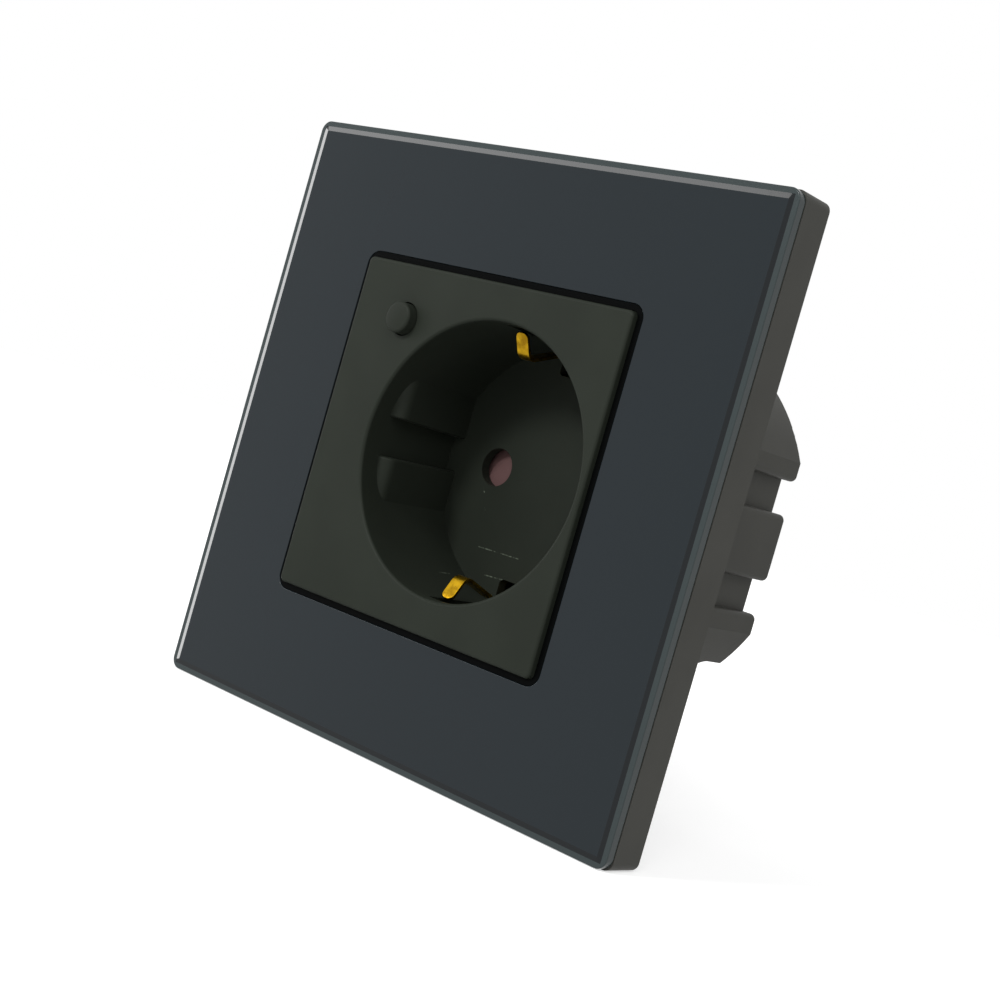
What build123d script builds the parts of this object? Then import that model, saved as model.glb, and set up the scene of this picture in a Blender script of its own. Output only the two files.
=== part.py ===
"""Flush-mounted earthed wall socket with a glass panel, a push button and a pin shutter.

Frame: +X to the viewer's right, +Y into the wall, +Z up, millimetres.
The origin is the centre of the panel on the wall plane, so the panel stands at
negative Y and the rear housing runs to positive Y inside the wall box.
"""
from build123d import *
import os
from math import cos, radians

# Glass panel
panel_size = 86.0
panel_corner = 1.2
panel_depth = 7.1
glass_thickness = 1.5
glass_arris_width = 0.2
glass_arris_depth = 0.2
opening_gap = 1.0
opening_corner = 2.0

# Moulded frame behind the glass
frame_overhang = 0.1
frame_wall = 1.8
frame_web = 1.6
collar_inner = 66.0
collar_wall = 1.4
frame_rib = 1.2
frame_rib_spacing = 24.0
peg_spacing = 60.0
peg_radius = 1.6

# Black trim ring between the glass and the insert
trim_clearance = 0.05
trim_gap = 0.1
trim_recess = 0.1
trim_flange = 1.6
trim_flange_thickness = 0.8

# Steel mounting plate
plate_size = 71.0
plate_corner = 5.0
plate_thickness = 1.2
plate_lip = 3.2
box_screw_spacing = 60.0
box_screw_hole_radius = 2.1
plate_screw_radius = 1.25
plate_screw_head_radius = 2.25
plate_screw_length = 6.0
plate_screw_recess = 0.6

# Insert: face plate, skirt and plug well
insert_margin = 1.1
insert_corner = 0.8
insert_proud = 0.84
insert_edge_radius = 0.4
insert_plate = 2.0
insert_skirt = 1.4
skirt_inset = 1.1
boss_radius = 2.6
boss_inset = 3.4

well_offset = 4.0
well_mouth_radius = 19.3
well_draft = 0.25
well_depth = 17.8
well_wall = 1.0
well_floor = 1.6
well_clearance = 0.15
well_lip_radius = 0.45

# Keying ribs at three and nine o'clock
rib_depth = 2.3
rib_gap = 5.8
rib_height = 6.3
rib_setback = 3.2
rib_draft = 0.4
rib_nose_radius = 2.0
rib_edge_radius = 0.35

# Pins
pin_spacing = 19.0
pin_length = 19.0
pin_hole_radius = 2.8

# Openings at twelve and six o'clock for the earth springs: a slot in the wall, a window in the floor
slot_width = 3.6
slot_setback = 2.5
window_width = 6.1
window_depth = 3.9
window_corner = 0.7

# Earth bracket
earth_thickness = 0.5
earth_leaf_width = 2.1
earth_strap_width = 5.0
earth_apex_inset = 4.15
earth_apex_setback = 6.0
earth_tip_inset = 0.4
earth_tip_setback = 4.0
earth_tip_round = 0.45
earth_shoulder_inset = 1.55
earth_shoulder_setback = 12.2
earth_slope_length = 2.2
earth_root_length = 1.0
earth_run_inset = 1.15
earth_bend_radius = 1.4
tail_past_wire = 2.0

# Push button
button_inset_x = 10.0
button_inset_z = 7.8
button_radius = 2.25
button_proud = 1.6
button_edge_radius = 0.45
button_gap = 0.2
button_travel = 0.8
button_guide_wall = 1.0
button_guide_length = 5.4
button_flange_radius = 3.1
button_flange = 1.0
button_stem_radius = 1.2
running_gap = 0.1

# Shutter behind the pin holes
shutter_gap = 0.2
shutter_thickness = 2.0
shutter_end_cover = 0.7
shutter_side_cover = 0.9
shutter_hub_radius = 3.2
shutter_ramp_depth = 1.3
shutter_ramp_angle = 53.0
shutter_ramp_offset = 0.92
shutter_ramp_start = 1.5
pivot_radius = 1.5
pivot_clearance = 0.06
spring_wire = 0.5
spring_turn_radius = 2.0
spring_peg_radius = 0.6
spring_post_radius = 0.9
spring_zone = 1.3
spring_leg_up = 9.0
spring_leg_side = 8.6

# Contacts and terminals
carrier_side_wall = 2.0
carrier_half_height = 7.6
pocket_width = 8.0
pocket_height = 6.4
contact_thickness = 0.8
contact_gap = 4.2
contact_height = 6.0
contact_web_rise = 1.0
pin_tip_gap = 0.2
contact_flare = 0.9
contact_flare_length = 1.6
post_radius = 1.4
post_inset = 1.5
post_z = 5.5
clamp_width = 7.0
clamp_length = 7.2
clamp_height = 6.9
clamp_gap = 0.14
wire_hole_radius = 2.0
wire_rise = 6.4
clamp_screw_radius = 1.55
clamp_screw_head_radius = 2.0
clamp_screw_head = 1.4
clamp_screw_slot = 0.6
clamp_screw_clearance = 0.05
clamp_screw_draw = 0.3
access_hole_radius = 2.2

# Circuit board and what it carries
board_rim_gap = 0.6
board_side_gap = 0.7
board_low_gap = 1.2
board_high_gap = 3.4
board_thickness = 1.6
switch_size = 6.0
switch_height = 3.5
plunger_radius = 1.7
plunger_clearance = 0.05
plunger_proud = 1.1
plunger_seat = 1.4
plunger_end_gap = 0.2
relay_size = (19.0, 15.5, 7.2)
relay_x = 9.6
supply_size = (16.5, 12.5, 8.2)
supply_x = -9.9
capacitor_radius = 4.0
capacitor_length = 12.0
capacitor_x = 6.6
board_part_gap = 0.5
board_part_radius = 0.4
capacitor_edge_radius = 0.5

# Rear housing, in two parts that meet at a split plane
housing_flat_margin = 2.7
housing_bulge = 3.1
housing_drop = 0.3
housing_split = 14.0
housing_wall = 1.8
housing_edge_radius = 0.7
seam_inset = 0.95
seam_length = 1.5
groove_depth = 2.35
groove_low = 5.05
groove_high = 10.1
groove_round = 0.9
step_setback = 6.5
step_low = 18.85
step_fillet = 2.5
housing_screw_x = -4.5
housing_screw_inset = 7.5
housing_screw_radius = 1.2
housing_screw_clearance = 0.2
housing_screw_head_radius = 2.3
housing_screw_head = 2.0
housing_screw_length = 24.0
housing_screw_round = 0.8
housing_screw_recess = 1.2
tube_radius = 2.3
tube_wall = 1.0
tube_seat = 8.6
board_post_radius = 1.1
board_post_inset = 0.9
board_post_rise = 1.8

# Driver recess of the cross-headed screws, as shares of the head's radius
recess_arm = 0.28
recess_length = 1.1

# How far joined forms run into each other, and cuts past a face
overlap = 0.2
past = 1.0

# Places on the panel, worked out from the sizes above
insert_half = well_offset + well_mouth_radius + insert_margin
insert_size = 2 * insert_half
opening_size = insert_size + 2 * opening_gap
plate_screw_spacing = insert_size - 2 * boss_inset
button_x = button_inset_x - insert_half
button_z = insert_half - button_inset_z
well_floor_radius = well_mouth_radius - well_draft
rib_reach = well_mouth_radius - rib_depth
window_inner = well_floor_radius - window_depth
earth_apex = well_mouth_radius - earth_apex_inset
earth_tip = well_mouth_radius - earth_tip_inset
earth_shoulder = well_floor_radius - earth_shoulder_inset
earth_run = well_floor_radius - earth_run_inset
shutter_reach = pin_spacing / 2 + pin_hole_radius + shutter_end_cover
shutter_half_width = pin_hole_radius + shutter_side_cover
housing_flat = well_offset + well_mouth_radius + housing_flat_margin
housing_radius = housing_flat + housing_bulge
housing_screw_z = housing_radius - housing_screw_inset
plate_bore_radius = housing_radius - plate_lip
carrier_half_width = (pin_spacing + pocket_width) / 2 + carrier_side_wall
post_x = carrier_half_width - post_inset
board_radius = housing_radius - housing_wall - board_rim_gap
board_half_width = housing_flat - groove_depth - housing_wall - board_side_gap
board_low = carrier_half_height + board_low_gap
board_high = housing_radius - housing_wall - board_high_gap
board_post_x = board_half_width - board_post_inset
board_post_z = board_low + board_post_rise
capacitor_z = board_low + relay_size[2] + 2 * board_part_gap + capacitor_radius
wire_drop = step_low - wire_rise

# Planes across the depth, worked out from the sizes above
glass_front = -panel_depth
glass_back = glass_front + glass_thickness
web_back = glass_back + frame_web
plate_front = -plate_thickness
face = glass_front - insert_proud
face_back = face + insert_plate
floor_front = face + well_depth
floor_back = floor_front + well_floor
shutter_front = floor_back + shutter_gap
shutter_back = shutter_front + shutter_thickness
strap_front = shutter_back + spring_zone
strap_back = strap_front + earth_thickness
carrier_front = strap_back + running_gap
contact_web_front = floor_front + pin_length + pin_tip_gap
contact_web_back = contact_web_front + contact_thickness
clamp_front = contact_web_back + clamp_gap
housing_inner = clamp_front + clamp_length
housing_depth = housing_inner + housing_wall
clamp_bottom = -(step_low - housing_wall)
board_front = carrier_front + 4 * running_gap
board_back = board_front + board_thickness
step_plane = housing_depth - step_setback
head_seat = housing_depth - tube_seat
pin_x = (well_offset - pin_spacing / 2, well_offset + pin_spacing / 2)


def plate_y(sketch, y_front, y_back):
    """Extrude a sketch drawn in X and Z between two planes across Y."""
    return extrude(Plane.XZ.offset(-y_back) * sketch, amount=y_back - y_front)


def block(x_low, x_high, y_low, y_high, z_low, z_high):
    """A box between its corner planes."""
    centre = Pos((x_low + x_high) / 2, (y_low + y_high) / 2, (z_low + z_high) / 2)
    return centre * Box(x_high - x_low, y_high - y_low, z_high - z_low)


def rod_y(radius, y_front, y_back, x, z):
    """A round bar along Y."""
    return plate_y(Pos(x, z) * Circle(radius), y_front, y_back)


def rod_z(radius, z_low, z_high, x, y):
    """A round bar along Z."""
    return Pos(x, y, (z_low + z_high) / 2) * Cylinder(radius, z_high - z_low)


def square(size, corner):
    """A rounded square sketch about the panel's centre."""
    return RectangleRounded(size, size, corner)


def strip_x(points, thickness, x_low, x_high, bend):
    """A bent metal strip whose centre line lies in Y and Z, as wide as the X limits."""
    line = FilletPolyline(*[(y, z) for y, z in points], radius=bend)
    section = trace(line, line_width=thickness)
    plane = Plane(origin=(x_low, 0, 0), x_dir=(0, 1, 0), z_dir=(1, 0, 0))
    return extrude(plane * section, amount=x_high - x_low)


def glass_panel():
    """Square glass with ground edges and a square opening for the insert."""
    arris_plane = glass_front + glass_arris_depth
    land = plate_y(square(panel_size, panel_corner), arris_plane, glass_back)
    front_size = panel_size - 2 * glass_arris_width
    front_corner = panel_corner - glass_arris_width
    sections = [
        Plane.XZ.offset(-arris_plane) * square(panel_size, panel_corner),
        Plane.XZ.offset(-glass_front) * square(front_size, front_corner),
    ]
    arris = loft(sections, ruled=True)
    opening = plate_y(square(opening_size, opening_corner), glass_front - past, glass_back + past)
    return land + arris - opening


def panel_frame():
    """Moulded tray that carries the glass and pegs into the mounting plate."""
    outer = panel_size + 2 * frame_overhang
    outer_corner = panel_corner + frame_overhang
    body = plate_y(square(outer, outer_corner), glass_back, 0)
    inner = outer - 2 * frame_wall
    body -= plate_y(Rectangle(inner, inner), web_back, past)
    collar_outer = collar_inner + 2 * collar_wall
    collar = plate_y(square(collar_outer, plate_corner), web_back, plate_front)
    collar -= plate_y(square(collar_inner, plate_corner), web_back - past, plate_front + past)
    body += collar
    for place in (-frame_rib_spacing, 0, frame_rib_spacing):
        rib_low = collar_outer / 2 - collar_wall / 2
        rib_high = inner / 2 + frame_wall / 2
        rib_left = place - frame_rib / 2
        rib = block(rib_left, rib_left + frame_rib, web_back - overlap, plate_front, rib_low, rib_high)
        for turn in (0, 90, 180, 270):
            body += Rot(0, turn, 0) * rib
    for x in (-peg_spacing / 2, peg_spacing / 2):
        for z in (-peg_spacing / 2, peg_spacing / 2):
            body += rod_y(peg_radius, web_back - overlap, -running_gap, x, z)
    body -= plate_y(square(opening_size, opening_corner), glass_back - past, web_back + past)
    return body


def trim_ring():
    """Thin black ring that lines the opening and hooks behind the frame's web."""
    outer = opening_size - 2 * trim_clearance
    inner = insert_size + 2 * trim_gap
    body = plate_y(square(outer, opening_corner), glass_front + trim_recess, web_back)
    flange = opening_size + 2 * trim_flange
    body += plate_y(square(flange, opening_corner), web_back, web_back + trim_flange_thickness)
    bore = square(inner, insert_corner + trim_gap)
    return body - plate_y(bore, glass_front - past, web_back + trim_flange_thickness + past)


def corner_places(spacing):
    """The four places of a square pattern."""
    half = spacing / 2
    return [(x, z) for x in (-half, half) for z in (-half, half)]


def mounting_plate():
    """Flat steel plate that is screwed over the wall box."""
    body = plate_y(square(plate_size, plate_corner), plate_front, 0)
    body -= rod_y(plate_bore_radius, plate_front - past, past, 0, 0)
    for x in (-box_screw_spacing / 2, box_screw_spacing / 2):
        body -= rod_y(box_screw_hole_radius, plate_front - past, past, x, 0)
    for x, z in corner_places(peg_spacing):
        body -= rod_y(peg_radius + running_gap, plate_front - past, past, x, z)
    for x, z in corner_places(plate_screw_spacing):
        body -= rod_y(plate_screw_radius + running_gap, plate_front - past, past, x, z)
        body -= countersink(x, z, running_gap)
    return body


def countersink(x, z, extra):
    """Cone of a countersunk head that ends flush with the wall plane."""
    height = plate_screw_head_radius - plate_screw_radius
    cone = Cone(plate_screw_radius + extra, plate_screw_head_radius + extra, height)
    return Pos(x, -height / 2, z) * Rot(-90, 0, 0) * cone


def plate_screws():
    """Four countersunk screws that hold the plate to the insert's bosses."""
    screws = []
    for x, z in corner_places(plate_screw_spacing):
        shank_back = (plate_screw_radius - plate_screw_head_radius) / 2
        shank = rod_y(plate_screw_radius, -plate_screw_length, shank_back, x, z)
        screw = shank + countersink(x, z, 0)
        screws.append(screw - cross_recess(x, z, plate_screw_recess, 0, plate_screw_head_radius))
    return Compound(children=screws)


def cross_recess(x, z, depth, y_back, reach):
    """Cross-shaped driver recess cut forward from a plane."""
    arm = recess_arm * reach
    length = recess_length * reach
    cross = Rectangle(length, arm) + Rectangle(arm, length)
    return plate_y(Pos(x, z) * cross, y_back - depth, y_back + past)


def well_cavity():
    """Space of the plug well, with the keying ribs left standing."""
    profile = Polyline(
        (0, face - past),
        (well_mouth_radius, face - past),
        (well_mouth_radius, face),
        (well_floor_radius, floor_front),
        (0, floor_front),
        close=True,
    )
    cavity = revolve(make_face(profile), Axis.Y)
    for side in (-1, 1):
        for level in (-1, 1):
            cavity -= keying_rib(side, level)
    return Pos(well_offset, 0, 0) * cavity


def well_cup(extra):
    """Outside of the plug well, drafted as its inside is, grown by the extra."""
    wall = well_wall + extra
    profile = Polyline(
        (0, face_back - overlap),
        (well_mouth_radius + wall, face_back - overlap),
        (well_floor_radius + wall, floor_back + extra),
        (0, floor_back + extra),
        close=True,
    )
    return Pos(well_offset, 0, 0) * revolve(make_face(profile), Axis.Y)


def keying_rib(side, level):
    """One drafted rib with a rounded nose, about the well's own axis."""
    x_in = side * rib_reach
    x_out = side * (well_mouth_radius + well_wall)
    low = rib_gap / 2
    high = low + rib_height
    front = face + rib_setback
    back = floor_front + past
    section = Polyline(
        (front, level * low),
        (back, level * (low - rib_draft)),
        (back, level * (high + rib_draft)),
        (front, level * high),
        close=True,
    )
    plane = Plane(origin=(min(x_in, x_out), 0, 0), x_dir=(0, 1, 0), z_dir=(1, 0, 0))
    rib = extrude(plane * make_face(section), amount=abs(x_out - x_in))
    inner = [e for e in rib.edges() if abs(e.center().X - x_in) < 1e-6]
    nose = [e for e in inner if abs(e.center().Y - front) < 1e-6]
    rib = fillet(nose, rib_nose_radius)
    inner = [e for e in rib.edges() if abs(e.center().X - x_in) < 1e-6]
    sides = [e for e in inner if abs((e @ 1 - e @ 0).Y) > rib_nose_radius]
    return fillet(sides, rib_edge_radius)


def socket_insert():
    """One moulding: face plate, skirt, bosses, button guide and the plug well."""
    plate = plate_y(square(insert_size, insert_corner), face, face_back)
    front_edges = [e for e in plate.edges() if abs(e.center().Y - face) < 1e-6]
    plate = fillet(front_edges, insert_edge_radius)
    skirt_size = insert_size - 2 * skirt_inset
    skirt = plate_y(square(skirt_size, insert_corner), face_back - overlap, plate_front)
    hollow = square(skirt_size - 2 * insert_skirt, insert_corner)
    skirt -= plate_y(hollow, face_back - past, plate_front + past)
    body = plate + skirt + well_cup(0)
    for x, z in corner_places(plate_screw_spacing):
        body += rod_y(boss_radius, face_back - overlap, plate_front, x, z)
    for z in (-housing_screw_z, housing_screw_z):
        body += rod_y(tube_radius, face_back - overlap, housing_split, housing_screw_x, z)
    guide_radius = button_radius + button_gap
    guide_back = face + button_guide_length
    guide_outer = guide_radius + button_guide_wall
    body += rod_y(guide_outer, face_back - overlap, guide_back, button_x, button_z)
    body -= well_cavity()
    lip = [
        e
        for e in body.edges().filter_by(GeomType.CIRCLE)
        if abs(e.radius - well_mouth_radius) < 1e-3 and abs(e.center().Y - face) < 1e-3
    ]
    body = fillet(lip, well_lip_radius)
    body -= rod_y(guide_radius, face - past, guide_back + past, button_x, button_z)
    for x in pin_x:
        body -= rod_y(pin_hole_radius, floor_front - past, floor_back + past, x, 0)
    for level in (-1, 1):
        body -= earth_opening(level)
    for x, z in corner_places(plate_screw_spacing):
        body -= rod_y(plate_screw_radius, -plate_screw_length - overlap, past, x, z)
    for z in (-housing_screw_z, housing_screw_z):
        tip = head_seat - housing_screw_length
        body -= rod_y(housing_screw_radius, tip - overlap, housing_split + past, housing_screw_x, z)
    root = floor_back - overlap
    pivot_end = strap_front - running_gap
    body += rod_y(pivot_radius, root, pivot_end, well_offset, 0)
    for side in (-1, 1):
        for z in (-post_z, post_z):
            body += rod_y(post_radius, root, carrier_front, well_offset + side * post_x, z)
    return body + rod_y(spring_post_radius, root, pivot_end, *spring_post_place())


def earth_opening(level):
    """Slot in the well's wall and window in its floor for one earth spring."""
    outer = well_mouth_radius + well_wall + running_gap
    height = outer - window_inner
    middle = Pos(well_offset, level * (window_inner + height / 2))
    slot = plate_y(middle * Rectangle(slot_width, height), face + slot_setback, floor_front)
    window = middle * RectangleRounded(window_width, height, window_corner)
    return slot + plate_y(window, floor_front - overlap, floor_back + past)


def spring_post_place():
    """Place of the fixed post that the shutter spring's upright leg leans on."""
    x = well_offset + spring_turn_radius - spring_wire / 2 - spring_post_radius
    return x, spring_leg_up - spring_post_radius


def push_button():
    """Round button with a retaining flange and a long stem."""
    front = face - button_proud
    flange_front = face + button_guide_length + running_gap
    head = rod_y(button_radius, front, flange_front, button_x, button_z)
    rim = [e for e in head.edges() if abs(e.center().Y - front) < 1e-6]
    head = fillet(rim, button_edge_radius)
    flange = rod_y(button_flange_radius, flange_front, flange_front + button_flange, button_x, button_z)
    stem = rod_y(button_stem_radius, flange_front, plunger_front(), button_x, button_z)
    return head + flange + stem


def plunger_front():
    """Plane where the switch's plunger meets the button's stem."""
    return board_front - switch_height - plunger_proud


def switch_plunger():
    """Plunger of the switch, which travels with the button."""
    back = board_front - switch_height + plunger_seat
    return rod_y(plunger_radius, plunger_front(), back, button_x, button_z)


def tact_switch():
    """Square switch soldered to the front of the circuit board."""
    half = switch_size / 2
    front = board_front - switch_height
    body = block(button_x - half, button_x + half, front, board_front, button_z - half, button_z + half)
    bore_back = front + plunger_seat + button_travel + plunger_end_gap
    bore_radius = plunger_radius + plunger_clearance
    return body - rod_y(bore_radius, front - past, bore_back, button_x, button_z)


def shutter():
    """Two-armed plate that turns about the well's axis to uncover the pin holes."""
    arm = Rectangle(2 * shutter_reach, 2 * shutter_half_width) & Circle(shutter_reach)
    outline = arm + Circle(shutter_hub_radius)
    body = plate_y(outline, shutter_front, shutter_back)
    ramp = Box(2 * shutter_reach, 2 * shutter_ramp_depth, shutter_reach)
    ramp = Pos(0, 0, shutter_reach / 2) * ramp
    slope = Rot(-atan_deg(shutter_ramp_depth, shutter_half_width), 0, 0)
    wedge = Pos(0, -shutter_ramp_depth, 0) * ramp
    wedge = slope * wedge
    place = Rot(0, -shutter_ramp_angle, 0) * Pos(0, 0, shutter_ramp_offset) * wedge
    root = -shutter_hub_radius - shutter_ramp_start
    width = 2 * shutter_half_width
    limit = block(-shutter_reach, root, shutter_front - past, shutter_back, -width, width)
    left = (Pos(-pin_spacing / 2, shutter_front, 0) * place) & limit
    body -= left
    body -= Rot(0, 180, 0) * left
    peg_x = 2 * spring_peg_radius - spring_leg_side
    peg_z = spring_peg_radius + spring_wire / 2 - spring_turn_radius
    body += rod_y(spring_peg_radius, shutter_back - overlap, strap_front - running_gap, peg_x, peg_z)
    body -= rod_y(pivot_radius + pivot_clearance, shutter_front - past, shutter_back + past, 0, 0)
    return Pos(well_offset, 0, 0) * body


def atan_deg(rise, run):
    """Angle of a slope in degrees."""
    return Vector(run, rise).get_angle(Vector(1, 0))


def shutter_spring():
    """Wire spring: one leg on the fixed post, a turn round the pivot, one leg on the shutter."""
    y = (shutter_back + strap_front) / 2
    turn = spring_turn_radius
    bend = turn * cos(radians(45))
    upright = Line((turn, y, spring_leg_up), (turn, y, 0))
    quarter = ThreePointArc((turn, y, 0), (bend, y, -bend), (0, y, -turn))
    side = Line((0, y, -turn), (-spring_leg_side, y, -turn))
    path = Wire([upright.edge(), quarter.edge(), side.edge()])
    section = Plane(origin=(turn, y, spring_leg_up), z_dir=(0, 0, -1)) * Circle(spring_wire / 2)
    return Pos(well_offset, 0, 0) * sweep(section, path)


def earth_bracket():
    """Sprung strap whose bent leaves touch the plug's side contacts at top and bottom."""
    leaf_low = well_offset - earth_leaf_width / 2
    leaf_high = well_offset + earth_leaf_width / 2
    strap_low = well_offset - earth_strap_width / 2
    strap_high = well_offset + earth_strap_width / 2
    middle = (strap_front + strap_back) / 2
    half = earth_thickness / 2
    leaf_end = floor_back + running_gap
    leaf_line = [
        (face + earth_tip_setback, earth_tip),
        (face + earth_apex_setback, earth_apex + half),
        (face + earth_shoulder_setback, earth_shoulder),
        (face + earth_shoulder_setback + earth_slope_length, earth_run),
        (leaf_end + earth_root_length, earth_run),
    ]
    leaf = strip_x(leaf_line, earth_thickness, leaf_low, leaf_high, earth_bend_radius)
    ends = leaf.faces().sort_by(Axis.Y)[0].edges()
    leaf = fillet(ends.sort_by(Edge.length)[:2], earth_tip_round * earth_leaf_width)
    strap_line = [(leaf_end, earth_run), (middle, earth_run), (middle, 0)]
    strap = strip_x(strap_line, earth_thickness, strap_low, strap_high, earth_bend_radius)
    upper = leaf + strap
    body = upper + mirror(upper, Plane.XY)
    tail_z = -(carrier_half_height + 2 * earth_thickness)
    tail_y = clamp_front - half
    tail_line = [(middle, tail_z), (tail_y, tail_z), (tail_y, -wire_drop - tail_past_wire)]
    tail = strip_x(tail_line, earth_thickness, leaf_low, leaf_high, earth_bend_radius)
    return body + tail


def contact(x):
    """Sprung socket for one pin: two flared leaves on a web with a tail to its clamp."""
    outer = contact_gap / 2 + contact_thickness
    half = contact_height / 2
    front = carrier_front + 2 * running_gap
    flare = front + contact_flare_length
    leaf = Polyline(
        (contact_gap / 2, contact_web_back),
        (contact_gap / 2, flare),
        (contact_gap / 2 + contact_flare, front),
        (outer + contact_flare, front),
        (outer, flare),
        (outer, contact_web_back),
        close=True,
    )
    side = extrude(Plane.XY.offset(-half) * make_face(leaf), amount=contact_height)
    body = side + mirror(side, Plane.YZ)
    low = -wire_drop - tail_past_wire
    high = pocket_height / 2 + contact_web_rise
    body += block(-outer, outer, contact_web_front, contact_web_back, low, high)
    return Pos(x, 0, 0) * body


def contact_carrier():
    """Insulating block that holds both contacts behind the pin holes."""
    low = well_offset - carrier_half_width
    high = well_offset + carrier_half_width
    body = block(low, high, carrier_front, contact_web_front, -carrier_half_height, carrier_half_height)
    for x in pin_x:
        pocket = Rectangle(pocket_width, pocket_height)
        body -= plate_y(Pos(x, 0) * pocket, carrier_front - past, contact_web_front + past)
    return body


def clamp(x):
    """Brass terminal block with a wire hole from behind and a screw from below."""
    half = clamp_width / 2
    body = block(x - half, x + half, clamp_front, housing_inner, clamp_bottom, clamp_bottom + clamp_height)
    body -= rod_y(wire_hole_radius, clamp_front - past, housing_inner + past, x, -wire_drop)
    hole = clamp_screw_radius + clamp_screw_clearance
    return body - rod_z(hole, clamp_bottom - past, -wire_drop, x, clamp_screw_y())


def clamp_screw_y():
    """Place of the clamp screws along the depth."""
    return housing_inner - access_hole_radius


def clamp_places():
    """Live, earth and neutral terminals, side by side."""
    return {"live": pin_x[0], "earth": well_offset, "neutral": pin_x[1]}


def terminal_screws():
    """Three slotted clamp screws that point down to the driver."""
    screws = []
    for x in clamp_places().values():
        y = clamp_screw_y()
        top = -wire_drop - wire_hole_radius - clamp_screw_draw
        shank = rod_z(clamp_screw_radius, clamp_bottom - overlap, top, x, y)
        head = rod_z(clamp_screw_head_radius, clamp_bottom - clamp_screw_head, clamp_bottom, x, y)
        half = clamp_screw_slot / 2
        reach = clamp_screw_head_radius + past
        low = clamp_bottom - clamp_screw_head
        slot = block(x - reach, x + reach, y - half, y + half, low - past, low + clamp_screw_slot)
        screws.append(shank + head - slot)
    return Compound(children=screws)


def circuit_board():
    """Board behind the well's upper edge, cut back round the housing's screw tube."""
    height = board_high - board_low
    outline = Pos(0, board_low + height / 2) * Rectangle(2 * board_half_width, height)
    outline &= Circle(board_radius)
    outline -= Pos(housing_screw_x, housing_screw_z) * Circle(tube_radius + 4 * running_gap)
    return plate_y(outline, board_front, board_back)


def board_block(size, x):
    """A boxed component on the back of the board, just above its lower edge."""
    width, depth, height = size
    low = board_low + board_part_gap
    body = block(x - width / 2, x + width / 2, board_back, board_back + depth, low, low + height)
    return fillet(body.edges().filter_by(Axis.Y), board_part_radius)


def capacitor():
    """Round capacitor standing on the back of the board."""
    back = board_back + capacitor_length
    body = rod_y(capacitor_radius, board_back, back, capacitor_x, capacitor_z)
    end = [e for e in body.edges() if abs(e.center().Y - back) < 1e-6]
    return fillet(end, capacitor_edge_radius)


def ring_outline(inset):
    """Circle with two side flats, moved in by the inset."""
    outline = Circle(housing_radius - inset) & Rectangle(2 * (housing_flat - inset), 2 * housing_radius)
    return Pos(0, -housing_drop) * outline


def cup_outline(inset):
    """The ring's outline with two grooves in each flat, moved in by the inset."""
    outline = ring_outline(inset)
    height = groove_high - groove_low + 2 * inset
    middle = (groove_high + groove_low) / 2
    reach = groove_depth + inset
    for side in (-1, 1):
        for level in (-1, 1):
            place = Pos(side * housing_flat, level * middle - housing_drop)
            outline -= place * Rectangle(2 * reach, height)
    return outline


def rounded_cup_outline():
    """The cup's outline with the grooves' outer corners rounded."""
    outline = cup_outline(0)
    corners = [v for v in outline.vertices() if abs(abs(v.X) - housing_flat) < 1e-6]
    corners = [v for v in corners if abs(v.Y + housing_drop) < groove_high + groove_round]
    return fillet(corners, groove_round)


def step_cut(inset):
    """Space cut away below the rear of the housing, with a rounded inner corner."""
    low = -2 * housing_radius
    top = -(step_low - inset)
    plane = step_plane - inset
    body = block(-housing_radius, housing_radius, plane, housing_depth + past, low, top)
    corner = [e for e in body.edges().filter_by(Axis.X) if abs(e.center().Y - plane) < 1e-6]
    corner = [e for e in corner if abs(e.center().Z - top) < 1e-6]
    return fillet(corner, step_fillet)


def housing_ring():
    """Front part of the housing, round the plug well, with a tongue that enters the rear part."""
    wall = ring_outline(0) - ring_outline(housing_wall)
    body = plate_y(wall, 0, housing_split) - well_cup(well_clearance)
    tongue = (cup_outline(seam_inset) - cup_outline(housing_wall)) & wall
    return body + plate_y(tongue, housing_split - overlap, housing_split + seam_length)


def rear_housing():
    """Deep cup that encloses the contacts, terminals and electronics."""
    outer = plate_y(rounded_cup_outline(), housing_split, housing_depth)
    rear_edges = [e for e in outer.edges() if abs(e.center().Y - housing_depth) < 1e-6]
    outer = fillet(rear_edges, housing_edge_radius)
    outer -= step_cut(0)
    cavity = plate_y(cup_outline(housing_wall), housing_split - past, housing_inner)
    cavity -= step_cut(housing_wall)
    body = outer - cavity
    rebate_back = housing_split + seam_length + running_gap
    body -= plate_y(cup_outline(seam_inset - running_gap), housing_split - past, rebate_back)
    details = None
    floor = housing_inner + overlap
    for z in (-housing_screw_z, housing_screw_z):
        tube = rod_y(tube_radius, housing_split, housing_depth, housing_screw_x, z)
        seat_radius = housing_screw_head_radius + housing_screw_clearance + tube_wall
        tube += rod_y(seat_radius, head_seat - tube_wall, housing_depth, housing_screw_x, z)
        details = tube if details is None else details + tube
    for side in (-1, 1):
        for z in (-post_z, post_z):
            details += rod_y(post_radius, contact_web_front, floor, well_offset + side * post_x, z)
        details += rod_y(board_post_radius, board_back, floor, side * board_post_x, board_post_z)
    body += details & outer
    for z in (-housing_screw_z, housing_screw_z):
        hole = housing_screw_radius + housing_screw_clearance
        body -= rod_y(hole, housing_split - past, housing_depth + past, housing_screw_x, z)
        counterbore = housing_screw_head_radius + housing_screw_clearance
        body -= rod_y(counterbore, head_seat, housing_depth + past, housing_screw_x, z)
    for x in clamp_places().values():
        body -= rod_y(wire_hole_radius, housing_inner - past, housing_depth + past, x, -wire_drop)
        body -= rod_z(access_hole_radius, -step_low - past, clamp_bottom, x, clamp_screw_y())
    return body


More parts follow.
